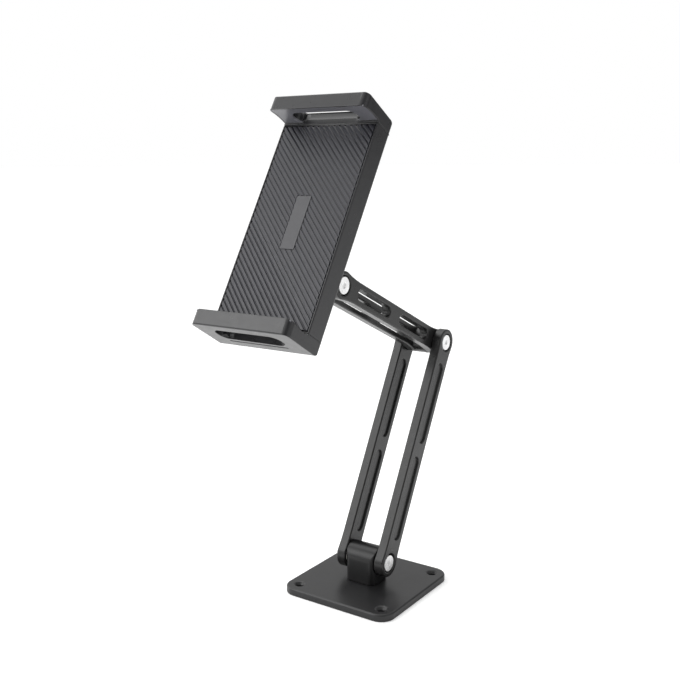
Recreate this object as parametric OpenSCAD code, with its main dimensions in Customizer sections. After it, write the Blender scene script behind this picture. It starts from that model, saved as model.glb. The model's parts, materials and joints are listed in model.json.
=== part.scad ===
// Folding tablet mount: a screw-down base plate, a pair of flat lower bars, a pair of
// slotted upper bars, a ball-jointed head and a spring-loaded tablet holder.
// Millimetres. X runs along the hinge axes, -Y faces the user, +Z is up.
// The origin is the centre of the base plate's underside.

/* [Base plate] */
// Side of the square base plate
base_side = 100; // [80:1:140]
// Thickness of the base plate
base_thick = 6; // [5:0.5:10]
// Radius of the plate's corners in plan
base_corner_r = 12; // [6:1:20]
// Rounding of the plate's top edge
base_edge_r = 1.5; // [0.5:0.25:2.5]
// Distance between neighbouring fixing holes
base_hole_pitch = 78; // [60:1:82]
// Diameter of a fixing hole
base_hole_d = 5; // [4:0.5:6.5]
// Diameter of a fixing hole's countersink
base_sink_d = 9.6; // [8:0.2:12]

/* [Pivot block] */
// Height of the lower hinge above the underside of the plate
hinge_height = 24.2; // [22:0.2:40]
// Depth of the pivot block from front to back
block_depth = 23.5; // [20:0.5:28]
// Radius of the block's upright corners
block_corner_r = 5; // [1:0.5:6]
// Distance between the two screws that hold the block
block_screw_pitch = 14; // [12:1:16]
// Shank diameter of a block screw
block_screw_d = 6; // [4:0.5:6]
// Depth that a block screw reaches into the block
block_screw_reach = 9; // [6:0.5:10]

/* [Lower arm] */
// Distance between the base hinge and the elbow
lower_length = 189; // [150:1:260]
// Width of a lower bar
lower_width = 20; // [16:0.5:22]
// Diameter of a lower bar's eyes
lower_eye_d = 22.5; // [22.5:0.5:26]
// Clear gap between the two lower bars
lower_gap = 28; // [26:1:36]
// Width of a groove in a lower bar
groove_width = 9.5; // [6:0.5:12]
// Depth of a groove in a lower bar
groove_depth = 1.5; // [1:0.25:3]
// Distance from a hinge to the nearest groove end
groove_inset = 19; // [17:1:30]
// Length of plain bar between the two grooves
groove_web = 12; // [8:1:20]

/* [Upper arm] */
// Distance between the elbow and the head hinge
upper_length = 153; // [120:1:165]
// Width of an upper bar
upper_width = 17; // [14:0.5:18]
// Diameter of an upper bar's eyes
upper_eye_d = 21; // [20:0.5:24]
// Width of a slot through an upper bar
slot_width = 8.5; // [6:0.5:11]
// Distance from a hinge to the nearest slot end
slot_inset = 19.5; // [17:0.5:26]
// Length of plain bar between the two slots
slot_web = 15.5; // [10:0.5:24]

/* [Bars and pivots] */
// Thickness of every bar
bar_thick = 8; // [7:0.5:9]
// Radius of the hollow flare between a bar and its eye
flare_r = 100; // [60:5:140]
// Diameter of a pivot bolt's shank
pivot_d = 8; // [7:0.5:9]
// Diameter of a pivot bolt's thread
pivot_thread_d = 5; // [4:0.5:5.5]
// Diameter of a pivot bolt's head
pivot_head_d = 12.8; // [11:0.2:14]
// Thickness of a pivot bolt's head
pivot_head_t = 2.7; // [2:0.1:3]
// Diameter of the counterbore round a bolt's head
counterbore_d = 15; // [15:0.5:17]
// Depth of the counterbore round a bolt's head
counterbore_depth = 3; // [3:0.25:4]
// Width across the flats of a bolt's hexagon socket
pivot_socket_af = 4; // [3:0.5:6]
// Depth of a bolt's hexagon socket
pivot_socket_depth = 1.8; // [1:0.1:2]
// Diameter of a friction washer
washer_d = 17; // [14:0.5:20]
// Thickness of a friction washer
washer_t = 0.4; // [0.3:0.05:0.8]
// Play on each face of a friction washer
washer_play = 0.05; // [0.02:0.01:0.08]
// Radial clearance of a turning fit
turning_gap = 0.06; // [0.03:0.01:0.1]

/* [Head] */
// Diameter of the ball
ball_d = 20; // [18:0.5:22]
// Diameter of the ball stud's neck
neck_d = 8; // [7:0.5:9]
// Distance from the ball's centre to the head hinge
stud_length = 35; // [34.5:0.1:44]
// Length of the bare neck between the ball and the nut
neck_length = 9; // [8.5:0.25:10]
// Width across the flats of the stud's hexagon
stud_nut_af = 13; // [11:1:15]
// Length of the stud's hexagon
stud_nut_length = 4.5; // [3:0.5:6]
// Diameter of the stud's thread in the knuckle
stud_thread_d = 6; // [5:0.5:7]
// Diameter of the knuckle's eye
knuckle_eye_d = 20; // [18:0.5:21]
// Thickness of the knuckle
knuckle_thick = 10; // [9:0.5:14]
// Width of the knuckle's boss under the stud
knuckle_boss_w = 15; // [13:0.5:17]
// Thickness of the nylon seat and ring round the ball
seat_t = 1.7; // [1.4:0.1:2.2]
// Angle from the seat's pole to its rim
seat_angle = 60; // [50:1:62]
// Free space outside the seat
seat_gap = 0.3; // [0.2:0.05:0.5]
// Angle that the stud may lean from the socket's axis
cone_angle = 45; // [40:1:48]
// Outside diameter of the socket's threaded boss
socket_d = 30; // [29:0.5:34]
// Outside diameter of the lock ring
lock_ring_d = 38; // [37:0.5:42]
// Thickness of the lock ring's front flange
lock_flange_t = 3; // [2.5:0.5:4]
// Number of finger grooves round the lock ring
lock_groove_count = 18; // [12:1:24]
// Diameter of a finger groove
lock_groove_d = 3.4; // [2:0.2:4]

/* [Holder] */
// Width of the holder
holder_width = 82; // [70:1:100]
// Length of the holder's body between the jaws
holder_length = 158; // [140:0.5:200]
// Depth of the holder's body
holder_depth = 17; // [15:0.5:22]
// Thickness of the holder's side walls
holder_wall = 2; // [1.5:0.25:3]
// Thickness of the holder's end walls
end_wall = 7; // [5:0.5:10]
// Rounding of the holder's rear edges
holder_back_r = 2; // [1:0.25:2.5]
// Rounding of the holder's front edges
holder_front_r = 0.8; // [0.4:0.1:1]
// Thickness of the wall behind the grip pad
front_wall = 1.2; // [1:0.1:2]
// Thickness of the back cover
cover_t = 2.5; // [2:0.25:3]
// Rim of the body beyond the cover's ends
cover_rim = 2; // [1.5:0.25:3]
// Assembly gap round the back cover
cover_gap = 0.1; // [0.05:0.05:0.2]
// Distance between the cover screws across the holder
cover_screw_x = 44; // [36:1:48]
// Distance between the cover screws along the holder
cover_screw_z = 126; // [100:1:132]
// Shank diameter of a cover screw
cover_screw_d = 2.5; // [2:0.25:3.5]
// Length of a cover screw
cover_screw_length = 8; // [6:0.5:9]

/* [Grip pad and label plate] */
// Border of the body round the grip pad
pad_border = 1.4; // [0.8:0.1:3]
// Open groove between that border and the grip pad
pad_gap = 0.5; // [0.2:0.1:1]
// Thickness of the grip pad under its ribs
pad_t = 1; // [0.8:0.1:2]
// Height of a rib
rib_height = 0.8; // [0.3:0.1:1]
// Amount that the ribs stand proud of the body
rib_proud = 0.1; // [0:0.05:0.3]
// Distance from rib to rib, square to the ribs
rib_pitch = 3.3; // [2.5:0.1:5]
// Width of a rib
rib_width = 2.2; // [1:0.1:2.3]
// Slope of the ribs
rib_angle = 45; // [30:1:60]
// Width of the bare label plate
label_width = 12; // [8:0.5:30]
// Length of the bare label plate
label_length = 41; // [20:1:60]
// Bare margin of the grip pad round the label plate
label_margin = 0.3; // [0.1:0.1:1]

/* [Jaws] */
// Thickness of a jaw along the holder
jaw_thick = 10; // [9.6:0.2:14]
// Reach of a jaw in front of the holder's face
jaw_reach = 21.3; // [18:0.1:26]
// Radius of the hollow inner face of a jaw
hollow_r = 72; // [50:1:90]
// Distance of the hollow's deepest line from the holder's face
hollow_front = 2.3; // [1:0.1:5]
// Depth of the hollow beyond the seam
hollow_depth = 1.3; // [0.5:0.1:2]
// Rounding of a jaw's front corners
jaw_front_r = 5; // [1:0.5:6]
// Rounding of a jaw's outer front edge
jaw_lip_r = 1.2; // [0.5:0.1:2]
// Rounding of a jaw's outer rear edge
jaw_rear_r = 4; // [1:0.5:5]
// Thickness of a jaw's soft liner
liner_t = 1.2; // [0.8:0.1:1.5]
// Rim of the jaw round its liner
liner_rim = 1.2; // [0.8:0.1:2]
// Thickness of the lip in front of a jaw's opening
lip_wall = 8.2; // [6:0.1:10]
// Length of the opening through a jaw
opening_length = 55.4; // [50:0.2:57]
// Width of the opening at the hollow face
opening_width = 13.3; // [10:0.1:14]
// Width of the opening at the outer face
opening_outer_width = 15; // [13.6:0.1:17]
// Height at which the opening widens, from the seam
opening_step = 4; // [3.6:0.2:6]
// Distance between the two webs in the ends of the opening
web_spacing = 47; // [40:0.5:50]
// Distance that a web stands out from the opening's rear wall
web_reach = 4; // [2:0.2:6]
// Distance from a web's end to the jaw's outer face
web_recess = 1.5; // [0.5:0.1:4]
// Length of the fine line behind the opening
line_length = 50; // [30:1:56]
// Width of the fine line
line_width = 1.2; // [0.8:0.1:2]
// Depth of the fine line
line_depth = 0.8; // [0.4:0.1:1]
// Width of the strip between the opening and the fine line
line_margin = 2.6; // [2:0.1:3.4]

/* [Jaw guides] */
// Diameter of a guide rod
rod_d = 5; // [4:0.5:5]
// Distance between a jaw's two guide rods
rod_pitch = 67; // [66:0.5:68]
// Depth that a guide rod is fixed into its jaw
rod_seat = 8; // [5:0.5:9]
// Outside diameter of a guide bush
bush_d = 8; // [7:0.5:8]
// Outside diameter of a jaw spring
spring_d = 7.6; // [7:0.2:8]
// Wall of a jaw spring, which is its wire
spring_wire = 1; // [0.6:0.1:1]
// Clear distance between the rods of the two jaws
rod_clearance = 13.5; // [4:0.5:20]
// Thickness of the collar at a rod's end
collar_t = 3; // [2:0.5:3]

/* [Pose] */
// Lean of the lower arm to the back, from upright
lower_lean = 28.7; // [0:0.1:45]
// Rise of the upper arm to the front, from level
upper_rise = 24.5; // [0:0.1:60]
// Rise of the ball stud to the front, from level
stud_rise = 65.2; // [45:0.1:80]
// Lean of the holder's face to the back, from upright
holder_lean = 31.6; // [26:0.1:50]

/* [Hidden] */
$fn = 64;

anodised = [0.16, 0.16, 0.17];
painted = [0.14, 0.14, 0.15];
bright_steel = [0.78, 0.79, 0.80];
moulded = [0.20, 0.20, 0.21];
soft_black = [0.24, 0.24, 0.25];
nylon = [0.85, 0.85, 0.82];
label_grey = [0.38, 0.38, 0.39];

// Overshoot of every cut beyond the face that it opens
cut = 1;
// Finer circles for the large radii
fine = 240;

// A washer and its play fill the gap beside each turning piece
washer_space = washer_t + 2 * washer_play;
block_width = lower_gap - 2 * washer_space;
lower_half = lower_gap / 2 + bar_thick;
upper_half = lower_gap / 2 - washer_space;
upper_gap = 2 * (upper_half - bar_thick);
knuckle_half = min(knuckle_thick / 2, upper_gap / 2 - washer_space);
pivot_bore_d = pivot_d + 2 * turning_gap;
flare_steps = 10;
// The flare ends this far inside the eye, so that the two outlines cross
flare_bite = 0.05;

// Where a nut's sleeve meets its bolt's shank, as a share of the half width
sleeve_share = 0.25;
nut_floor = 1;

ball_r = ball_d / 2;
ball_fit_r = ball_r + turning_gap;
seat_r = ball_fit_r + seat_t;
pocket_r = seat_r + seat_gap;
// Wall between the ball's pocket and the holder's rear face
socket_floor = 0.4;
ball_standoff = pocket_r + socket_floor;
// Height of the socket's rim and of the ring round the ball, from the ball's centre
socket_rim = 0.5;
// Air between the pieces that the ring nut holds
socket_air = 0.1;
collet_low = socket_rim + 2 * socket_air;
// The ring ends just below the place where the neck leaves the ball at its full lean
collet_high = ball_r * cos(cone_angle + asin(neck_d / ball_d)) - socket_air / 2;
flange_low = collet_high + socket_air;
flange_high = flange_low + lock_flange_t;
// The ring stops this far short of the holder's rear face
lock_ring_gap = 3;
lock_ring_low = lock_ring_gap - ball_standoff;
lock_ring_edge = 1;
lock_groove_depth = 1;
collet_slit = 2;
// The stud leans inside a cone-shaped mouth with this much room
mouth_room = 0.5;

stud_nut_start = ball_r + neck_length;
knuckle_reach = stud_length - stud_nut_start - stud_nut_length;
// The stud's thread ends this far short of the pivot's bore
thread_web = 1.5;
stud_thread_length = knuckle_reach - pivot_bore_d / 2 - thread_web;

pad_floor = pad_t + rib_height - rib_proud;
cavity_front = pad_floor + front_wall;
cover_front = holder_depth - cover_t;
// The walls carry the cover on a step of this width
cover_step = 1;
cover_side = holder_wall + cover_step;
cover_socket_depth = 1;
rod_depth = (cavity_front + cover_front) / 2;
cavity_half = holder_length / 2 - end_wall;
post_wall = 2.5;
post_d = cover_screw_d + 2 * post_wall;
// Width of a cover screw's head, as a share of its shank
screw_head_share = 2.2;
screw_head_d = cover_screw_d * screw_head_share;
rod_inner_end = rod_clearance / 2;
spring_length = cavity_half - rod_inner_end - collar_t;
collar_d = spring_d;
liner_play = 0.3;
opening_rear = lip_wall - jaw_reach + opening_outer_width;

// Places of the elbow, the head hinge, the ball and the holder's face, as [y, z]
function toward_front(angle) = [-cos(angle), sin(angle)];
elbow = [lower_length * sin(lower_lean), hinge_height + lower_length * cos(lower_lean)];
head_hinge = elbow + upper_length * toward_front(upper_rise);
ball_place = head_hinge + stud_length * toward_front(stud_rise);
holder_place = ball_place + (ball_standoff + holder_depth) * toward_front(holder_lean);

// Frames of the moving groups

// Z runs from the base hinge to the elbow
module in_lower_arm() {
    translate([0, 0, hinge_height]) rotate([-lower_lean, 0, 0]) children();
}

// Z runs from the elbow to the head hinge
module in_upper_arm() {
    translate([0, elbow[0], elbow[1]]) rotate([90 - upper_rise, 0, 0]) children();
}

// Z runs from the ball's centre to the head hinge
module in_stud() {
    translate([0, ball_place[0], ball_place[1]]) rotate([-90 - stud_rise, 0, 0]) children();
}

// Z runs along the holder to its top, Y from its face to its back
module in_holder() {
    translate([0, holder_place[0], holder_place[1]]) rotate([-holder_lean, 0, 0]) children();
}

// Z runs out of the back of the holder, from the ball's centre
module in_socket() {
    in_holder() translate([0, holder_depth + ball_standoff, 0]) rotate([-90, 0, 0]) children();
}

// Shared shapes

// Extrudes a drawing of Y and Z along X
module along_x(from, to) {
    translate([from, 0, 0]) rotate([90, 0, 90]) linear_extrude(to - from) children();
}

// Extrudes a drawing of X and Z along Y
module along_y(from, to) {
    translate([0, to, 0]) rotate([90, 0, 0]) linear_extrude(to - from) children();
}

// A round rod along X
module rod_x(from, to, d) {
    translate([from, 0, 0]) rotate([0, 90, 0]) cylinder(h = to - from, d = d);
}

// A centred rectangle with round corners
module soft_rect(w, h, r) {
    square([w - 2 * r, h], center = true);
    square([w, h - 2 * r], center = true);
    for (x = [-1, 1], y = [-1, 1]) translate([x * (w / 2 - r), y * (h / 2 - r)]) circle(r);
}

// What a rounding of radius r takes off a corner that points to +X and +Y
module corner_bite(r) {
    difference() {
        square(r + cut);
        circle(r);
    }
}

// A rectangle from x = -w/2 to w/2 with its own roundings at its two ends in Y
module body_outline(w, front, back, front_r, back_r) {
    difference() {
        translate([-w / 2, front]) square([w, back - front]);
        for (side = [0, 1]) mirror([side, 0]) {
            translate([w / 2 - back_r, back - back_r]) corner_bite(back_r);
            translate([w / 2 - front_r, front + front_r]) mirror([0, 1]) corner_bite(front_r);
        }
    }
}

// A slot with round ends, centred, running along Y
module slot_shape(length, width) {
    square([width, length - width], center = true);
    for (end = [-1, 1]) translate([0, end * (length - width) / 2]) circle(d = width);
}

// A point on the hollow flare beside a bar's lower eye, as [across, along]
function flare_point(step, half, eye_r) =
    let (
        across = half + flare_r,
        along = sqrt(pow(eye_r - flare_bite + flare_r, 2) - pow(across, 2)),
        turn = 180 + step / flare_steps * atan2(along, across)
    )
    [across + flare_r * cos(turn), along + flare_r * sin(turn)];

// A bar from eye to eye, along Y
module bar_outline(length, width, eye_d) {
    lower = [for (i = [flare_steps:-1:0]) flare_point(i, width / 2, eye_d / 2)];
    upper = [for (i = [0:flare_steps]) let (p = flare_point(i, width / 2, eye_d / 2)) [p[0], length - p[1]]];
    side = concat(lower, upper);
    last = len(side) - 1;
    polygon(concat(side, [for (i = [last:-1:0]) [-side[i][0], side[i][1]]]));
    for (y = [0, length]) translate([0, y]) circle(d = eye_d, $fn = fine);
}

// The two long slots of a bar, mirrored about its middle
module slot_pair(length, inset, web, width) {
    slot_length = length / 2 - inset - web / 2;
    for (end = [-1, 1]) {
        translate([0, length / 2 + end * (web + slot_length) / 2]) slot_shape(slot_length, width);
    }
}

// A hexagon of a given width across its flats
module hexagon(af) {
    circle(d = af / cos(30), $fn = 6);
}

// A countersunk head below a face at z = 0, widening upwards
module countersink(head_d, shank_d) {
    depth = (head_d - shank_d) / 2;
    translate([0, 0, -depth]) cylinder(h = depth, d1 = shank_d, d2 = head_d);
}

// Base

// A plate with round corners and a rounded top edge
module rounded_plate(side, thick, corner_r, edge_r) {
    half = side / 2 - corner_r;
    ring = corner_r - edge_r;
    linear_extrude(thick - edge_r) soft_rect(side, side, corner_r);
    linear_extrude(thick) soft_rect(side - 2 * edge_r, side - 2 * edge_r, ring);
    for (x = [-1, 1], y = [-1, 1]) {
        translate([x * half, y * half, thick - edge_r]) rotate_extrude() translate([ring, 0]) intersection() {
            circle(edge_r);
            translate([0, -edge_r]) square([edge_r, 2 * edge_r]);
        }
    }
    for (turn = [0:90:270]) {
        rotate([0, 0, turn]) translate([0, side / 2 - edge_r, thick - edge_r]) rod_x(-half, half, 2 * edge_r);
    }
}

module at_base_holes() {
    half = base_hole_pitch / 2;
    for (x = [-half, half], y = [-half, half]) translate([x, y, 0]) children();
}

module at_block_screws() {
    for (x = [-1, 1]) translate([x * block_screw_pitch / 2, 0, 0]) children();
}

block_head_d = 2 * block_screw_d;
// The block screws' heads lie this far inside the underside
block_head_depth = 0.3;
block_socket_depth = 2;
// Width of a countersunk screw's socket, as a share of its shank
socket_share = 0.6;

module base_plate() {
    color(painted) difference() {
        rounded_plate(base_side, base_thick, base_corner_r, base_edge_r);
        at_base_holes() {
            translate([0, 0, -cut]) cylinder(h = base_thick + 2 * cut, d = base_hole_d);
            translate([0, 0, base_thick]) countersink(base_sink_d, base_hole_d);
        }
        at_block_screws() {
            translate([0, 0, -cut]) cylinder(h = base_thick + 2 * cut, d = block_screw_d);
            translate([0, 0, block_head_depth]) mirror([0, 0, 1]) countersink(block_head_d, block_screw_d);
            translate([0, 0, -cut]) cylinder(h = cut + block_head_depth, d = block_head_d);
        }
    }
}

module block_screws() {
    length = base_thick + block_screw_reach - block_head_depth;
    color(bright_steel) at_block_screws() translate([0, 0, block_head_depth]) difference() {
        union() {
            mirror([0, 0, 1]) countersink(block_head_d, block_screw_d);
            cylinder(h = length, d = block_screw_d);
        }
        translate([0, 0, -cut]) linear_extrude(cut + block_socket_depth) {
            hexagon(block_screw_d * socket_share);
        }
    }
}

module pivot_block() {
    color(painted) difference() {
        intersection() {
            along_x(-block_width / 2, block_width / 2) {
                translate([-block_depth / 2, base_thick]) square([block_depth, hinge_height - base_thick]);
                translate([0, hinge_height]) circle(d = block_depth, $fn = fine);
            }
            translate([0, 0, base_thick]) linear_extrude(hinge_height + block_depth) {
                soft_rect(block_width, block_depth, block_corner_r);
            }
        }
        translate([0, 0, hinge_height]) rod_x(-block_width, block_width, pivot_bore_d);
        at_block_screws() translate([0, 0, base_thick - cut]) {
            cylinder(h = block_screw_reach + cut, d = block_screw_d);
        }
    }
}

// Pivots

// The bolt of a pivot, with its head in the counterbore of the right bar
module pivot_bolt(half) {
    seat = half - counterbore_depth;
    sleeve_end = -half * sleeve_share;
    color(bright_steel) difference() {
        union() {
            rod_x(seat, seat + pivot_head_t, pivot_head_d);
            rod_x(sleeve_end, seat, pivot_d);
            rod_x(nut_floor - seat, sleeve_end, pivot_thread_d);
        }
        along_x(seat + pivot_head_t - pivot_socket_depth, seat + pivot_head_t + cut) hexagon(pivot_socket_af);
    }
}

// The sleeve nut of a pivot, with its head in the counterbore of the left bar
module pivot_nut(half) {
    seat = half - counterbore_depth;
    sleeve_end = -half * sleeve_share;
    color(bright_steel) difference() {
        union() {
            rod_x(-seat - pivot_head_t, -seat, pivot_head_d);
            rod_x(-seat, sleeve_end, pivot_d);
        }
        rod_x(nut_floor - seat, sleeve_end + cut, pivot_thread_d);
        along_x(-seat - pivot_head_t - cut, -seat - pivot_head_t + pivot_socket_depth) {
            hexagon(pivot_socket_af);
        }
    }
}

// Two friction washers, outside a turning piece of the given half width
module washer_pair(half) {
    inner = half + washer_play;
    color(nylon) for (side = [0, 1]) mirror([side, 0, 0]) difference() {
        rod_x(inner, inner + washer_t, washer_d);
        rod_x(half, 2 * half, pivot_bore_d);
    }
}

// Bars

// A lower bar as seen from its inner face, from x = 0 outwards
module lower_bar() {
    difference() {
        along_x(0, bar_thick) bar_outline(lower_length, lower_width, lower_eye_d);
        for (z = [0, lower_length]) translate([0, 0, z]) {
            rod_x(-cut, bar_thick + cut, pivot_bore_d);
            rod_x(bar_thick - counterbore_depth, bar_thick + cut, counterbore_d);
        }
        for (start = [-cut, bar_thick - groove_depth]) {
            along_x(start, start + cut + groove_depth) {
                slot_pair(lower_length, groove_inset, groove_web, groove_width);
            }
        }
    }
}

// An upper bar as seen from its inner face, from x = 0 outwards
module upper_bar() {
    difference() {
        along_x(0, bar_thick) bar_outline(upper_length, upper_width, upper_eye_d);
        for (z = [0, upper_length]) translate([0, 0, z]) rod_x(-cut, bar_thick + cut, pivot_bore_d);
        translate([0, 0, upper_length]) rod_x(bar_thick - counterbore_depth, bar_thick + cut, counterbore_d);
        along_x(-cut, bar_thick + cut) slot_pair(upper_length, slot_inset, slot_web, slot_width);
    }
}

module lower_bar_right() {
    color(anodised) in_lower_arm() translate([lower_gap / 2, 0, 0]) lower_bar();
}

module lower_bar_left() {
    color(anodised) in_lower_arm() mirror([1, 0, 0]) translate([lower_gap / 2, 0, 0]) lower_bar();
}

module upper_bar_right() {
    color(anodised) in_upper_arm() translate([upper_gap / 2, 0, 0]) upper_bar();
}

module upper_bar_left() {
    color(anodised) in_upper_arm() mirror([1, 0, 0]) translate([upper_gap / 2, 0, 0]) upper_bar();
}

module base_bolt() {
    in_lower_arm() pivot_bolt(lower_half);
}

module base_nut() {
    in_lower_arm() pivot_nut(lower_half);
}

module base_washers() {
    in_lower_arm() washer_pair(block_width / 2);
}

module elbow_bolt() {
    in_lower_arm() translate([0, 0, lower_length]) pivot_bolt(lower_half);
}

module elbow_nut() {
    in_lower_arm() translate([0, 0, lower_length]) pivot_nut(lower_half);
}

module elbow_washers() {
    in_lower_arm() translate([0, 0, lower_length]) washer_pair(upper_half);
}

module elbow_spacer() {
    color(anodised) in_upper_arm() difference() {
        rod_x(-upper_gap / 2, upper_gap / 2, upper_eye_d);
        rod_x(-upper_gap, upper_gap, pivot_bore_d);
    }
}

module head_bolt() {
    in_upper_arm() translate([0, 0, upper_length]) pivot_bolt(upper_half);
}

module head_nut() {
    in_upper_arm() translate([0, 0, upper_length]) pivot_nut(upper_half);
}

module head_washers() {
    in_upper_arm() translate([0, 0, upper_length]) washer_pair(knuckle_half);
}

// Head and ball joint

module head_knuckle() {
    color(anodised) in_stud() difference() {
        along_x(-knuckle_half, knuckle_half) {
            translate([0, stud_length]) circle(d = knuckle_eye_d, $fn = fine);
            translate([-knuckle_boss_w / 2, stud_length - knuckle_reach]) {
                square([knuckle_boss_w, knuckle_reach]);
            }
        }
        translate([0, 0, stud_length]) rod_x(-2 * knuckle_half, 2 * knuckle_half, pivot_bore_d);
        translate([0, 0, stud_length - knuckle_reach - cut]) {
            cylinder(h = cut + stud_thread_length, d = stud_thread_d);
        }
    }
}

module ball_stud() {
    color(bright_steel) in_stud() {
        sphere(r = ball_r);
        cylinder(h = stud_nut_start + cut, d = neck_d);
        translate([0, 0, stud_nut_start]) linear_extrude(stud_nut_length) hexagon(stud_nut_af);
        translate([0, 0, stud_nut_start]) {
            cylinder(h = stud_nut_length + stud_thread_length, d = stud_thread_d);
        }
    }
}

// The nylon cup between the ball and the bottom of its socket
module ball_seat() {
    reach = seat_r + cut;
    color(nylon) in_socket() rotate_extrude() intersection() {
        difference() {
            circle(seat_r, $fn = fine);
            circle(ball_fit_r, $fn = fine);
        }
        polygon([
            [0, 0],
            [0, -reach],
            [reach, -reach],
            [reach, -reach / tan(seat_angle)],
        ]);
    }
}

// The split ring that grips the ball in front of its middle
module ball_collet() {
    color(nylon) in_socket() difference() {
        translate([0, 0, collet_low]) cylinder(h = collet_high - collet_low, r = pocket_r);
        sphere(r = ball_fit_r, $fn = fine);
        translate([0, -collet_slit / 2, 0]) cube([pocket_r + cut, collet_slit, collet_high + cut]);
    }
}

// The ring nut that closes the socket
module lock_ring() {
    outer_r = lock_ring_d / 2;
    neck_slant = neck_d / 2 / cos(cone_angle) + mouth_room;
    mouth_low = flange_low * tan(cone_angle) + neck_slant;
    mouth_high = flange_high * tan(cone_angle) + neck_slant;
    groove_place = outer_r + lock_groove_d / 2 - lock_groove_depth;
    thread_length = collet_low - lock_ring_low;
    color(moulded) in_socket() difference() {
        rotate_extrude($fn = 96) difference() {
            translate([0, lock_ring_low]) square([outer_r, flange_high - lock_ring_low]);
            translate([outer_r - lock_ring_edge, flange_high - lock_ring_edge]) corner_bite(lock_ring_edge);
            translate([0, lock_ring_low - cut]) square([socket_d / 2 + turning_gap, thread_length + cut]);
            translate([0, collet_low - cut]) square([pocket_r + turning_gap, flange_low - collet_low + cut]);
            polygon([
                [0, flange_low - cut],
                [mouth_low, flange_low - cut],
                [mouth_low, flange_low],
                [mouth_high, flange_high],
                [mouth_high + cut, flange_high + cut],
                [0, flange_high + cut],
            ]);
        }
        for (i = [0:lock_groove_count - 1]) rotate([0, 0, i * 360 / lock_groove_count]) {
            translate([groove_place, 0, lock_ring_low - cut]) {
                cylinder(h = flange_high - lock_ring_low - lock_ring_edge, d = lock_groove_d);
            }
        }
    }
}

// Holder

module at_cover_screws() {
    for (x = [-1, 1], z = [-1, 1]) translate([x * cover_screw_x / 2, 0, z * cover_screw_z / 2]) children();
}

// The cone of a cover screw's head, flush with the back of the holder
module cover_sink() {
    translate([0, holder_depth, 0]) rotate([-90, 0, 0]) countersink(screw_head_d, cover_screw_d);
}

module holder_frame() {
    color(moulded) in_holder() difference() {
        translate([0, 0, -holder_length / 2]) linear_extrude(holder_length) {
            body_outline(holder_width, 0, holder_depth, holder_front_r, holder_back_r);
        }
        along_y(-cut, pad_floor) {
            square([holder_width - 2 * pad_border, holder_length - 2 * pad_border], center = true);
        }
        difference() {
            along_y(cavity_front, holder_depth) {
                square([holder_width - 2 * holder_wall, 2 * cavity_half], center = true);
            }
            at_cover_screws() along_y(0, cover_front) circle(d = post_d);
        }
        along_y(cover_front, holder_depth + cut) {
            square([holder_width - 2 * cover_side, holder_length - 2 * cover_rim], center = true);
        }
        at_cover_screws() along_y(holder_depth - cover_screw_length, cover_front + cut) {
            circle(d = cover_screw_d);
        }
        for (end = [-1, 1]) at_rods() {
            translate([0, 0, end * (cavity_half + end_wall / 2)]) {
                cylinder(h = end_wall + 2 * cut, d = bush_d, center = true);
            }
        }
    }
}

module back_cover() {
    width = holder_width - 2 * (cover_side + cover_gap);
    length = holder_length - 2 * (cover_rim + cover_gap);
    color(moulded) {
        in_holder() difference() {
            along_y(cover_front, holder_depth) square([width, length], center = true);
            at_cover_screws() along_y(0, holder_depth + cut) circle(d = cover_screw_d);
            at_cover_screws() cover_sink();
        }
        in_socket() difference() {
            translate([0, 0, -ball_standoff]) cylinder(h = ball_standoff + socket_rim, d = socket_d);
            sphere(r = pocket_r, $fn = fine);
            cylinder(h = socket_rim + cut, r = pocket_r);
        }
    }
}

module cover_screws() {
    color(bright_steel) in_holder() at_cover_screws() difference() {
        union() {
            along_y(holder_depth - cover_screw_length, holder_depth) circle(d = cover_screw_d);
            cover_sink();
        }
        along_y(holder_depth - cover_socket_depth, holder_depth + cut) hexagon(cover_screw_d * socket_share);
    }
}

// Every rib of the pad as one drawing, cut to the pad's outline
module rib_lines(width, length) {
    reach = width + length;
    count = ceil(reach / 2 / rib_pitch);
    intersection() {
        square([width, length], center = true);
        rotate(-rib_angle) for (i = [-count:count]) {
            translate([0, i * rib_pitch]) square([reach, rib_width], center = true);
        }
    }
}

module grip_pad() {
    width = holder_width - 2 * (pad_border + pad_gap);
    length = holder_length - 2 * (pad_border + pad_gap);
    color(soft_black) in_holder() {
        along_y(pad_floor - pad_t, pad_floor) square([width, length], center = true);
        along_y(-rib_proud, pad_floor - pad_t + rib_height / 2) difference() {
            rib_lines(width, length);
            square([label_width + 2 * label_margin, label_length + 2 * label_margin], center = true);
        }
    }
}

module label_plate() {
    color(label_grey) in_holder() along_y(-rib_proud, pad_floor - pad_t) {
        square([label_width, label_length], center = true);
    }
}

// Jaws, drawn with z = 0 on the seam with the body and +z outwards

module at_rods() {
    for (x = [-1, 1]) translate([x * rod_pitch / 2, rod_depth, 0]) children();
}

// The open space that the hollow face of a jaw follows, as a drawing of Y and Z
module hollow_space(extra) {
    intersection() {
        translate([-hollow_front, hollow_depth - hollow_r]) circle(hollow_r + extra, $fn = 2 * fine);
        translate([-jaw_reach - cut, -hollow_r]) square([jaw_reach + cut, 2 * hollow_r]);
    }
}

// A slot along X whose front side lies at the given Y, as a drawing of X and Y
module jaw_slot(length, width, front) {
    translate([0, front + width / 2]) rotate(90) slot_shape(length, width);
}

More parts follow.
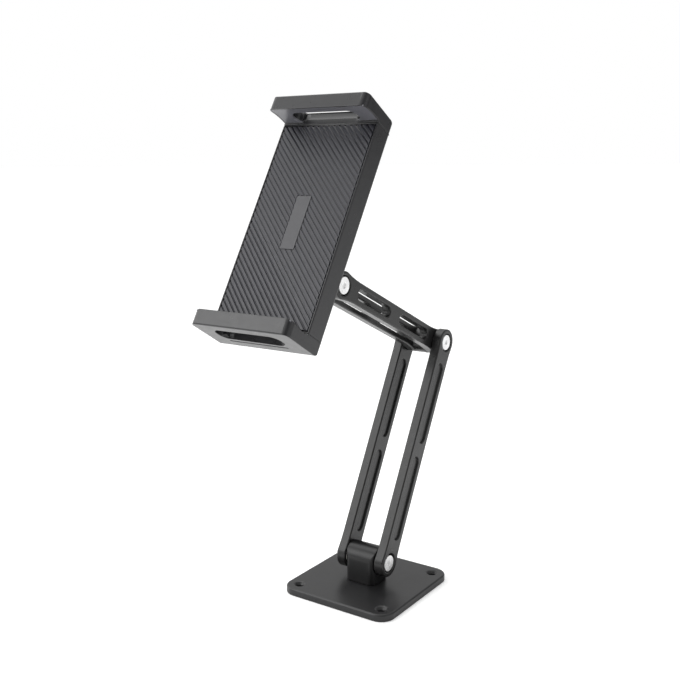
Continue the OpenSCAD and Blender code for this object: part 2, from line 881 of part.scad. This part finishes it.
module jaw_blank() {
    drop = hollow_r;
    intersection() {
        along_x(-holder_width / 2, holder_width / 2) difference() {
            union() {
                translate([-jaw_reach, -drop / 4]) square([jaw_reach, jaw_thick + drop / 4]);
                square([holder_depth, jaw_thick]);
            }
            hollow_space(0);
            translate([holder_depth - jaw_rear_r, jaw_thick - jaw_rear_r]) corner_bite(jaw_rear_r);
            translate([jaw_lip_r - jaw_reach, jaw_thick - jaw_lip_r]) mirror([1, 0]) corner_bite(jaw_lip_r);
        }
        translate([0, 0, -drop]) linear_extrude(2 * drop) {
            body_outline(holder_width, -jaw_reach, holder_depth, jaw_front_r, holder_back_r);
        }
    }
}

// The bed of the liner: a curved layer inside the jaw's rim
module liner_bed() {
    intersection() {
        along_x(liner_rim - holder_width / 2, holder_width / 2 - liner_rim) difference() {
            hollow_space(liner_t);
            hollow_space(0);
        }
        translate([0, 0, -hollow_r]) linear_extrude(2 * hollow_r) {
            translate([0, (liner_rim - jaw_reach - liner_play) / 2]) {
                square([holder_width, jaw_reach - liner_rim - liner_play], center = true);
            }
        }
    }
}

// The opening through a jaw, wider towards the outer face
module jaw_opening() {
    translate([0, 0, -hollow_r]) linear_extrude(hollow_r + jaw_thick) {
        jaw_slot(opening_length, opening_width, lip_wall - jaw_reach);
    }
    translate([0, 0, opening_step]) linear_extrude(jaw_thick) {
        jaw_slot(opening_length, opening_outer_width, lip_wall - jaw_reach);
    }
}

// The two upright webs that stand in the rear corners of the opening
module opening_webs() {
    low = hollow_depth + liner_t;
    for (side = [0, 1]) mirror([side, 0, 0]) {
        translate([web_spacing / 2, opening_rear - web_reach, low]) {
            cube([opening_length, web_reach + cut, jaw_thick - web_recess - low]);
        }
    }
}

module jaw() {
    color(moulded) difference() {
        jaw_blank();
        liner_bed();
        difference() {
            jaw_opening();
            opening_webs();
        }
        translate([0, 0, jaw_thick - line_depth]) linear_extrude(jaw_thick) {
            jaw_slot(line_length, line_width, opening_rear + line_margin);
        }
        at_rods() translate([0, 0, -cut]) cylinder(h = rod_seat + cut, d = rod_d);
    }
}

module jaw_liner() {
    color(soft_black) difference() {
        liner_bed();
        jaw_opening();
    }
}

// The two rods of a jaw, from their seats in the jaw to their collars
module jaw_rods() {
    inner = rod_inner_end - holder_length / 2;
    color(bright_steel) at_rods() translate([0, 0, inner]) cylinder(h = rod_seat - inner, d = rod_d);
}

module rod_collars() {
    inner = rod_inner_end - holder_length / 2;
    color(bright_steel) at_rods() translate([0, 0, inner]) difference() {
        cylinder(h = collar_t, d = collar_d);
        translate([0, 0, -cut]) cylinder(h = collar_t + 2 * cut, d = rod_d);
    }
}

module jaw_springs() {
    inner = rod_inner_end + collar_t - holder_length / 2;
    color(bright_steel) at_rods() translate([0, 0, inner]) difference() {
        cylinder(h = spring_length, d = spring_d);
        translate([0, 0, -cut]) cylinder(h = spring_length + 2 * cut, d = spring_d - 2 * spring_wire);
    }
}

module at_top() {
    in_holder() translate([0, 0, holder_length / 2]) children();
}

module at_bottom() {
    in_holder() mirror([0, 0, 1]) translate([0, 0, holder_length / 2]) children();
}

module guide_bushes() {
    color(nylon) in_holder() for (end = [-1, 1]) at_rods() {
        translate([0, 0, end * (cavity_half + end_wall / 2)]) difference() {
            cylinder(h = end_wall, d = bush_d, center = true);
            cylinder(h = end_wall + 2 * cut, d = rod_d + 2 * turning_gap, center = true);
        }
    }
}

module top_jaw() {
    at_top() jaw();
}

module top_liner() {
    at_top() jaw_liner();
}

module top_rods() {
    at_top() jaw_rods();
}

module top_collars() {
    at_top() rod_collars();
}

module top_springs() {
    at_top() jaw_springs();
}

module bottom_jaw() {
    at_bottom() jaw();
}

module bottom_liner() {
    at_bottom() jaw_liner();
}

module bottom_rods() {
    at_bottom() jaw_rods();
}

module bottom_collars() {
    at_bottom() rod_collars();
}

module bottom_springs() {
    at_bottom() jaw_springs();
}

base_plate();
pivot_block();
block_screws();
lower_bar_left();
lower_bar_right();
base_bolt();
base_nut();
base_washers();
elbow_bolt();
elbow_nut();
elbow_washers();
elbow_spacer();
upper_bar_left();
upper_bar_right();
head_bolt();
head_nut();
head_washers();
head_knuckle();
ball_stud();
ball_seat();
ball_collet();
lock_ring();
holder_frame();
back_cover();
cover_screws();
grip_pad();
label_plate();
guide_bushes();
top_jaw();
top_liner();
top_rods();
top_collars();
top_springs();
bottom_jaw();
bottom_liner();
bottom_rods();
bottom_collars();
bottom_springs();
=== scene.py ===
"""Looks for the folding tablet mount: softened edges, materials, light and camera.

Everything is in metres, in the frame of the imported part: X along the hinge axes,
-Y towards the user, +Z up, origin at the centre of the base plate's underside.
"""
import json
import math

import bmesh
import bpy
from mathutils import Matrix, Vector

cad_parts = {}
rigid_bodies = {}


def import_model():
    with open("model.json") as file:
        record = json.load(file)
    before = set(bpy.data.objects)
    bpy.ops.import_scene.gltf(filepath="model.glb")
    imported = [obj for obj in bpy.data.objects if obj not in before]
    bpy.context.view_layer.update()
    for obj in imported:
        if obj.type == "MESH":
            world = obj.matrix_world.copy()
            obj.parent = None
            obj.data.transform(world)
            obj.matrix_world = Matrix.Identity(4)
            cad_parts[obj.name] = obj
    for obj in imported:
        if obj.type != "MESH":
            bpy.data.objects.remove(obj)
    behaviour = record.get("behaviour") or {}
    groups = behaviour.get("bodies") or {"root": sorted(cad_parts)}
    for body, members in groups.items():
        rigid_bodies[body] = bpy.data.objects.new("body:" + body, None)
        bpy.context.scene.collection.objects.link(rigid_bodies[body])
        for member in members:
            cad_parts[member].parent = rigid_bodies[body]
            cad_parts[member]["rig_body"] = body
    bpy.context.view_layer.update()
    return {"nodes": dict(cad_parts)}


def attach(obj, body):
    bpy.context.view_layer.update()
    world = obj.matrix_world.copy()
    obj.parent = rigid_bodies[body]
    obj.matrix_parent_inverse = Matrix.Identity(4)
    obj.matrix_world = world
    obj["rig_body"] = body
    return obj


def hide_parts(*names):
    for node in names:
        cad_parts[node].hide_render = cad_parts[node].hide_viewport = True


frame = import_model()

MM = 0.001
UP = Vector((0, 0, 1))
WHITE = (1, 1, 1, 1)

# Camera, as solved from the photograph, with its angles in degrees
VIEW_AZIMUTH = 34.83
VIEW_ELEVATION = 10.74
VIEW_ROLL = -0.38
VIEW_DISTANCE = 710.2 * MM
VIEW_TARGET = Vector((-1.2, -33.4, 209.2)) * MM
FOCAL_PIXELS = 945.4
IMAGE_PIXELS = 680
# The lens axis meets the photograph in the middle of a pixel, beside the picture's own centre
HALF_PIXEL = 0.5
SENSOR_WIDTH = 36
CLIP_START = 0.01
CLIP_END = 100

# The studio as light is a dim room with soft bright regions in it.
# Each region has a direction, the cosines at which it begins and is full, and a strength.
WORLD_BASE = 0.1
WORLD_LOBES = (
    (Vector((-0.6, -0.5, 0.62)), 0.3, 0.95, 0.95),
    (Vector((0.97, 0.1, 0.2)), 0.8, 0.97, 0.7),
    (Vector((-0.45, 0.75, 0.5)), 0.4, 0.95, 0.55),
    (Vector((0.0, 0.1, 1.0)), 0.4, 0.95, 0.4),
    (Vector((-0.97, -0.15, 0.15)), 0.9, 0.99, 1.5),
)
# The camera sees plain white instead
CAMERA_WHITE = 1.0
# Square lamps: name, place, width, power in watts, and whether glossy surfaces mirror them
LAMPS = (
    ("overhead", Vector((-0.3, 0.2, 1.6)), 1.2, 6, True),
    ("front_softbox", Vector((-0.95, -1.2, 1.05)), 1.0, 9, True),
    ("side_fill", Vector((1.5, -0.3, 0.7)), 1.2, 6, False),
)

# The floor: half its width, its colour and glow, and the duller colour that some reflections see, as
# painted shade
FLOOR_HALF = 60.0
FLOOR_COLOUR = 0.9
FLOOR_LIFT = 0.3
FLOOR_DIM = 0.85
# Reflections see it dull within the first distance from the plate's middle, and bright from the
# second: a painted shadow that darkens the plate's sides
CONTACT_START = 0.065
CONTACT_END = 0.1
# Further out it fades from bright to dull between these distances, painted shade in what the pieces
# reflect
FLOOR_NEAR = 0.5
FLOOR_FAR = 1.1

# Points of a CAD mesh that are closer than this are joined
WELD_DISTANCE = 0.0005 * MM
# Faces that meet at less than this many degrees become one
FLAT_ANGLE = 0.4
# Edges softer than this many degrees are not rounded
BEVEL_ANGLE = 28
# Inner corners are rounded by this share of the width, where a piece asks for nothing else
CONCAVE_SHARE = 0.3
# Faces that meet at less than this many degrees are shaded as one curve
SMOOTH_ANGLE = 32
# In a crowded piece, one rounding takes at most this share of a face: beside another rounding,
# or beside a line that stays as it is
SHARED_ROOM = 0.45
PLAIN_ROOM = 0.85
# Two lines of a face lie side by side when they are this parallel, as a cosine, and share a stretch
# that is longer than a touch
PARALLEL = 0.7
TOUCHING = 0.01 * MM

# Widths of the rounded edges
PLATE_EDGE = 0.9 * MM
BLOCK_EDGE = 0.6 * MM
BAR_EDGE = 0.9 * MM
KNUCKLE_EDGE = 0.4 * MM
BOLT_EDGE = 0.25 * MM
STUD_EDGE = 0.3 * MM
FRAME_EDGE = 0.6 * MM
JAW_EDGE = 0.4 * MM
COVER_EDGE = 0.5 * MM
RING_EDGE = 0.3 * MM
PAD_EDGE = 0.3 * MM
LABEL_EDGE = 0.15 * MM
LINER_EDGE = 0.25 * MM

# Most of a noise's values lie between these two
NOISE_LOW = 0.3
NOISE_HIGH = 0.7
# Rubber and powder coat vary by this share of their tone
TONE_SPREAD = 0.08
# Steel mirrors this share as metal; the rest is drawn as white diffuse satin, a painted sheen for the
# bright surroundings that the heads reflect
METAL_SHARE = 0.45
# Its roughness varies by this much either way
STEEL_SPREAD = 0.03
# How far its turning marks draw out the shine, from 0 to 1
TURNING_MARKS = 0.75


# Node tools

class NodeTree:
    """A node tree that grows one step at a time."""

    def __init__(self, owner):
        owner.use_nodes = True
        self.tree = owner.node_tree

    def add(self, kind, **settings):
        """A new node, with its settings."""
        node = self.tree.nodes.new(kind)
        for key, value in settings.items():
            setattr(node, key, value)
        return node

    def link(self, output, node, socket):
        self.tree.links.new(output, node.inputs[socket])

    def combine(self, operation, first, second):
        """One value from two, such as their sum, their product or the larger one."""
        node = self.add("ShaderNodeMath", operation=operation)
        self.link(first, node, 0)
        self.link(second, node, 1)
        return node.outputs["Value"]

    def remap(self, value, low, high, start, end, interpolation="LINEAR"):
        """Turns a value that runs from start to end into one that runs from low to high."""
        node = self.add("ShaderNodeMapRange", interpolation_type=interpolation)
        node.inputs["From Min"].default_value = start
        node.inputs["From Max"].default_value = end
        node.inputs["To Min"].default_value = low
        node.inputs["To Max"].default_value = high
        self.link(value, node, "Value")
        return node.outputs["Result"]


class Shader(NodeTree):
    """A Principled material. Its spots and grain are noise in the object's own space."""

    def __init__(self, name, colour, roughness, metallic=0.0, specular=0.5):
        self.material = bpy.data.materials.new(name)
        super().__init__(self.material)
        self.surface = self.tree.nodes["Principled BSDF"]
        self.surface.inputs["Base Color"].default_value = (*colour, 1)
        self.surface.inputs["Roughness"].default_value = roughness
        self.surface.inputs["Metallic"].default_value = metallic
        self.surface.inputs["Specular IOR Level"].default_value = specular
        self.material.diffuse_color = (*colour, 1)
        self.place = self.add("ShaderNodeTexCoord").outputs["Object"]

    def noise(self, spot, detail):
        """Noise whose spots are about `spot` metres across."""
        mapping = self.add("ShaderNodeMapping")
        mapping.inputs["Scale"].default_value = [1 / spot] * 3
        self.link(self.place, mapping, "Vector")
        texture = self.add("ShaderNodeTexNoise")
        texture.inputs["Scale"].default_value = 1.0
        texture.inputs["Detail"].default_value = detail
        self.link(mapping.outputs["Vector"], texture, "Vector")
        return texture.outputs["Fac"]

    def spread_noise(self, low, high, spot, detail):
        """Noise whose common values run from low to high."""
        return self.remap(self.noise(spot, detail), low, high, NOISE_LOW, NOISE_HIGH)

    def colour_between(self, share, first, second):
        """Mixes the surface's colour from two, by a 0 to 1 value."""
        node = self.add("ShaderNodeMix", data_type="RGBA")
        node.inputs["A"].default_value = (*first, 1)
        node.inputs["B"].default_value = (*second, 1)
        self.link(share, node, "Factor")
        self.link(node.outputs["Result"], self.surface, "Base Color")

    def mottle(self, first, second, spot, detail):
        """Lets the colour wander between two."""
        self.colour_between(self.spread_noise(0, 1, spot, detail), first, second)

    def vary_roughness(self, low, high, spot, detail):
        """Lets the surface be smoother in some spots than in others."""
        self.link(self.spread_noise(low, high, spot, detail), self.surface, "Roughness")

    def grain(self, depth, spot, detail):
        """Fine bumps, `depth` metres deep."""
        node = self.add("ShaderNodeBump")
        node.inputs["Distance"].default_value = depth
        self.link(self.noise(spot, detail), node, "Height")
        self.link(node.outputs["Normal"], self.surface, "Normal")


def grey(value, tint=0.0):
    """A neutral colour with a slight cool tint."""
    return (value, value, value * (1 + tint))


def shades(tone, tint):
    """The darker and the lighter shade of a tone."""
    return grey((1 - TONE_SPREAD) * tone, tint), grey((1 + TONE_SPREAD) * tone, tint)


# Materials

def moulded_plastic():
    """Satin black plastic with a fine moulded grain."""
    shader = Shader("moulded_plastic", grey(0.011), roughness=0.3, specular=0.57)
    shader.mottle(grey(0.0105, tint=0.12), grey(0.0115, tint=0.12), spot=14 * MM, detail=4)
    shader.vary_roughness(low=0.27, high=0.33, spot=6 * MM, detail=3)
    shader.grain(depth=0.008 * MM, spot=0.4 * MM, detail=3)
    return shader.material


def soft_rubber(name, tone, tint):
    """The dull, slightly blue black of the pads."""
    shader = Shader(name, grey(tone), roughness=0.36)
    shader.mottle(*shades(tone, tint), spot=9 * MM, detail=4)
    shader.vary_roughness(low=0.33, high=0.39, spot=4 * MM, detail=3)
    shader.grain(depth=0.015 * MM, spot=0.2 * MM, detail=2)
    return shader.material


def label_plastic():
    """The bare grey plate in the middle of the pad."""
    shader = Shader("label_plastic", grey(0.075), roughness=0.4, specular=0.3)
    shader.mottle(grey(0.071, tint=0.06), grey(0.079, tint=0.06), spot=5 * MM, detail=3)
    shader.vary_roughness(low=0.36, high=0.44, spot=2 * MM, detail=3)
    shader.grain(depth=0.006 * MM, spot=0.15 * MM, detail=2)
    return shader.material


def anodised_aluminium():
    """Satin black anodised bar, with a trace of its blasted grain."""
    shader = Shader("anodised_aluminium", grey(0.012), roughness=0.3, specular=0.4)
    shader.mottle(grey(0.011), grey(0.013), spot=20 * MM, detail=4)
    shader.vary_roughness(low=0.27, high=0.33, spot=3 * MM, detail=4)
    shader.grain(depth=0.01 * MM, spot=0.2 * MM, detail=2)
    return shader.material


def powder_coat(name, tone, specular):
    """Smooth dark powder coat, glossy enough for soft reflections."""
    shader = Shader(name, grey(tone), roughness=0.34, specular=specular)
    shader.mottle(*shades(tone, tint=0.06), spot=25 * MM, detail=3)
    shader.vary_roughness(low=0.32, high=0.36, spot=8 * MM, detail=3)
    shader.grain(depth=0.003 * MM, spot=0.4 * MM, detail=3)
    return shader.material


def turned_steel(name, roughness):
    """Bright steel whose turning marks run round the hinge axis."""
    low = roughness - STEEL_SPREAD
    high = roughness + STEEL_SPREAD
    # Its white diffuse part is a painted sheen; only the metal share mirrors
    shader = Shader(name, grey(0.93), roughness, metallic=METAL_SHARE)
    shader.mottle(grey(0.9), grey(0.96), spot=1.2 * MM, detail=3)
    shader.vary_roughness(low, high, spot=0.8 * MM, detail=2)
    shader.surface.inputs["Anisotropic"].default_value = TURNING_MARKS
    tangent = shader.add("ShaderNodeTangent", direction_type="RADIAL", axis="X")
    shader.link(tangent.outputs["Tangent"], shader.surface, "Tangent")
    return shader.material


def nylon():
    """Natural white nylon."""
    shader = Shader("nylon", grey(0.62), roughness=0.45)
    shader.mottle((0.58, 0.58, 0.54), (0.68, 0.68, 0.64), spot=3 * MM, detail=3)
    shader.vary_roughness(low=0.4, high=0.5, spot=1 * MM, detail=2)
    shader.grain(depth=0.01 * MM, spot=0.3 * MM, detail=2)
    return shader.material


# Softened copies of the CAD nodes


def middle(line):
    """The point halfway along a mesh edge."""
    return (line.verts[0].co + line.verts[1].co) / 2


def direction(line):
    """The unit vector along a mesh edge."""
    return (line.verts[1].co - line.verts[0].co).normalized()


def room_beside(line, face, sharp):
    """How far the rounding of a line may reach into a face, in metres."""
    along = direction(line)
    inward = face.normal.cross(along)
    room = math.inf
    for other in face.edges:
        if other == line or abs(direction(other).dot(along)) < PARALLEL:
            continue
        step = middle(other) - middle(line)
        overlap = (line.calc_length() + other.calc_length()) / 2
        if abs(step.dot(along)) < overlap - TOUCHING:
            share = SHARED_ROOM if other in sharp else PLAIN_ROOM
            room = min(room, share * abs(step.dot(inward)))
    return room


def mark_edges(bm, edge, inner_share, crowded):
    """Gives each sharp edge the share of the width `edge` that it is rounded by."""
    weight = bm.edges.layers.float.new("bevel_weight_edge")
    limit = math.radians(BEVEL_ANGLE)
    sharp = {line for line in bm.edges if line.is_manifold and line.calc_face_angle() > limit}
    bm.normal_update()
    for line in sharp:
        line[weight] = 1.0 if line.is_convex else inner_share
        if crowded:
            room = min(room_beside(line, face, sharp) for face in line.link_faces)
            line[weight] = min(line[weight], room / edge)


def clean_copy(node, edge, inner_share, crowded):
    """A copy of a CAD node's mesh, joined at its seams, its sharp edges marked for rounding."""
    bm = bmesh.new()
    bm.from_mesh(frame["nodes"][node].data)
    bmesh.ops.remove_doubles(bm, verts=bm.verts, dist=WELD_DISTANCE)
    flat = math.radians(FLAT_ANGLE)
    bmesh.ops.dissolve_limit(bm, angle_limit=flat, verts=bm.verts, edges=bm.edges)
    mark_edges(bm, edge, inner_share, crowded)
    mesh = bpy.data.meshes.new("dressed_" + node)
    bm.to_mesh(mesh)
    bm.free()
    return mesh


def show(mesh, material, node):
    """Puts a mesh in the scene, where it stands for a CAD node and moves with it."""
    piece = bpy.data.objects.new("dressed_" + node, mesh)
    bpy.context.scene.collection.objects.link(piece)
    mesh.materials.clear()
    mesh.materials.append(material)
    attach(piece, frame["nodes"][node]["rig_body"])
    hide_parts(node)
    return piece


def dress(node, material, edge, segments=2, inner_share=CONCAVE_SHARE, crowded=False):
    """Replaces a CAD node with a copy whose edges are rounded by `edge` metres."""
    mesh = clean_copy(node, edge, inner_share, crowded)
    piece = show(mesh, material, node)
    for face in mesh.polygons:
        face.use_smooth = True
    mesh.set_sharp_from_angle(angle=math.radians(SMOOTH_ANGLE))
    bevel = piece.modifiers.new("edges", "BEVEL")
    bevel.width = edge
    bevel.segments = segments
    bevel.limit_method = "WEIGHT"
    bevel.use_clamp_overlap = False
    bevel.harden_normals = True
    flatten = piece.modifiers.new("flat_faces", "WEIGHTED_NORMAL")
    flatten.keep_sharp = True


def recolour(node, material):
    """Keeps a CAD node's mesh and gives it a better material."""
    for slot in frame["nodes"][node].material_slots:
        slot.material = material


# Pieces

plastic = moulded_plastic()
pad_rubber = soft_rubber("pad_rubber", tone=0.015, tint=0.4)
# The liners' rubber is made lighter, as painted light for the dim hollows of the jaws
lit_liner_rubber = soft_rubber("lit_liner_rubber", tone=0.11, tint=0.12)
label = label_plastic()
anodised = anodised_aluminium()
plate_powder = powder_coat("plate_powder_coat", tone=0.012, specular=0.52)
# The block is the plate's powder coat made darker, as painted shade for its place between the bars
shaded_block_powder = powder_coat("block_powder_coat", tone=0.006, specular=0.4)
bolt_steel = turned_steel("bolt_steel", roughness=0.3)
ground_steel = turned_steel("ground_steel", roughness=0.2)
white_nylon = nylon()

# The base and the arm
dress("base_plate", plate_powder, PLATE_EDGE, segments=3)
dress("pivot_block", shaded_block_powder, BLOCK_EDGE)
for node in ("lower_bar_left", "lower_bar_right", "upper_bar_left", "upper_bar_right"):
    dress(node, anodised, BAR_EDGE, segments=3)
for node in ("elbow_spacer", "head_knuckle"):
    dress(node, anodised, KNUCKLE_EDGE)

# The pivots' bolts, and the screws
for pivot in ("base", "elbow", "head"):
    dress(pivot + "_bolt", bolt_steel, BOLT_EDGE)
    dress(pivot + "_nut", bolt_steel, BOLT_EDGE)
    recolour(pivot + "_washers", white_nylon)
for node in ("block_screws", "cover_screws"):
    recolour(node, bolt_steel)

# The ball joint and the jaws' bushes
for node in ("ball_seat", "ball_collet", "guide_bushes"):
    recolour(node, white_nylon)
dress("ball_stud", ground_steel, STUD_EDGE)

# The holder, whose grooves, openings and thin walls leave no room for rounded inner corners
dress("holder_frame", plastic, FRAME_EDGE, inner_share=0)
for end in ("top", "bottom"):
    dress(end + "_jaw", plastic, JAW_EDGE, inner_share=0, crowded=True)
dress("back_cover", plastic, COVER_EDGE, inner_share=0)
dress("lock_ring", plastic, RING_EDGE, inner_share=0)
dress("grip_pad", pad_rubber, PAD_EDGE, inner_share=0)
dress("label_plate", label, LABEL_EDGE)
for end in ("top", "bottom"):
    dress(end + "_liner", lit_liner_rubber, LINER_EDGE, inner_share=0)
    for fitting in ("_rods", "_collars", "_springs"):
        recolour(end + fitting, ground_steel)


# Floor, light and camera

def floor_paper():
    """White paper with a faint glow, which reflections miss beside the plate and far away, where they
    see it dull as painted shade.
    """
    shader = Shader("floor_paper", grey(FLOOR_COLOUR), roughness=0.9, specular=0.1)
    rays = shader.add("ShaderNodeLightPath")
    reach = shader.add("ShaderNodeVectorMath", operation="LENGTH")
    shader.link(shader.place, reach, 0)
    far = shader.remap(reach.outputs["Value"], 0, 1, FLOOR_NEAR, FLOOR_FAR)
    close = shader.remap(reach.outputs["Value"], 1, 0, CONTACT_START, CONTACT_END)
    either = shader.combine("MAXIMUM", far, close)
    # Painted shade: glossy rays see the floor dull beside the plate and far out
    dim = shader.combine("MULTIPLY", either, rays.outputs["Is Glossy Ray"])
    shader.colour_between(dim, grey(FLOOR_COLOUR), grey(FLOOR_DIM))
    shader.surface.inputs["Emission Color"].default_value = WHITE
    glow = shader.remap(dim, FLOOR_LIFT, 0, start=0, end=1)
    shader.link(glow, shader.surface, "Emission Strength")
    return shader.material


def add_floor():
    """One wide square of paper, level with the plate's underside."""
    mesh = bpy.data.meshes.new("floor")
    half = FLOOR_HALF
    corners = [(-half, -half, 0), (half, -half, 0), (half, half, 0), (-half, half, 0)]
    mesh.from_pydata(corners, [], [(0, 1, 2, 3)])
    floor = bpy.data.objects.new("floor", mesh)
    bpy.context.scene.collection.objects.link(floor)
    mesh.materials.append(floor_paper())


def add_world():
    """White for the camera. As light it is a dim room with a few soft bright regions."""
    world = bpy.data.worlds.new("studio")
    bpy.context.scene.world = world
    studio = NodeTree(world)
    background = studio.tree.nodes["Background"]
    background.inputs["Color"].default_value = WHITE
    place = studio.add("ShaderNodeTexCoord").outputs["Generated"]
    light = studio.add("ShaderNodeValue").outputs["Value"]
    light.default_value = WORLD_BASE
    for towards, start, full, strength in WORLD_LOBES:
        along = studio.add("ShaderNodeVectorMath", operation="DOT_PRODUCT")
        along.inputs[1].default_value = towards.normalized()
        studio.link(place, along, 0)
        lobe = studio.remap(along.outputs["Value"], 0, strength, start, full, "SMOOTHSTEP")
        light = studio.combine("ADD", light, lobe)
    rays = studio.add("ShaderNodeLightPath")
    seen = studio.add("ShaderNodeMix")
    seen.inputs["B"].default_value = CAMERA_WHITE
    studio.link(light, seen, "A")
    studio.link(rays.outputs["Is Camera Ray"], seen, "Factor")
    studio.link(seen.outputs["Result"], background, "Strength")


def add_lamp(name, place, width, power, mirrored):
    """A square lamp that faces the point that the camera looks at."""
    light = bpy.data.lights.new(name, "AREA")
    light.shape = "SQUARE"
    light.size = width
    light.energy = power
    lamp = bpy.data.objects.new(name, light)
    lamp.location = place
    lamp.rotation_euler = (VIEW_TARGET - place).to_track_quat("-Z", "Y").to_euler()
    lamp.visible_glossy = mirrored
    bpy.context.scene.collection.objects.link(lamp)


def add_camera():
    """The photograph's camera, from its angles about the point that it looks at."""
    azimuth = math.radians(VIEW_AZIMUTH)
    elevation = math.radians(VIEW_ELEVATION)
    roll = math.radians(VIEW_ROLL)
    back = Vector((
        math.sin(azimuth) * math.cos(elevation),
        -math.cos(azimuth) * math.cos(elevation),
        math.sin(elevation),
    ))
    level = (-back).cross(UP).normalized()
    upright = level.cross(-back)
    right = level * math.cos(roll) + upright * math.sin(roll)
    top = upright * math.cos(roll) - level * math.sin(roll)
    lens = bpy.data.cameras.new("camera")
    lens.sensor_width = SENSOR_WIDTH
    lens.lens = FOCAL_PIXELS * SENSOR_WIDTH / IMAGE_PIXELS
    lens.shift_x = -HALF_PIXEL / IMAGE_PIXELS
    lens.shift_y = HALF_PIXEL / IMAGE_PIXELS
    lens.clip_start = CLIP_START
    lens.clip_end = CLIP_END
    camera = bpy.data.objects.new("camera", lens)
    turn = Matrix((right, top, back)).transposed().to_4x4()
    camera.matrix_world = Matrix.Translation(VIEW_TARGET + back * VIEW_DISTANCE) @ turn
    bpy.context.scene.collection.objects.link(camera)
    bpy.context.scene.camera = camera


add_floor()
add_world()
for lamp in LAMPS:
    add_lamp(*lamp)
add_camera()
bpy.context.scene.view_settings.view_transform = "Standard"
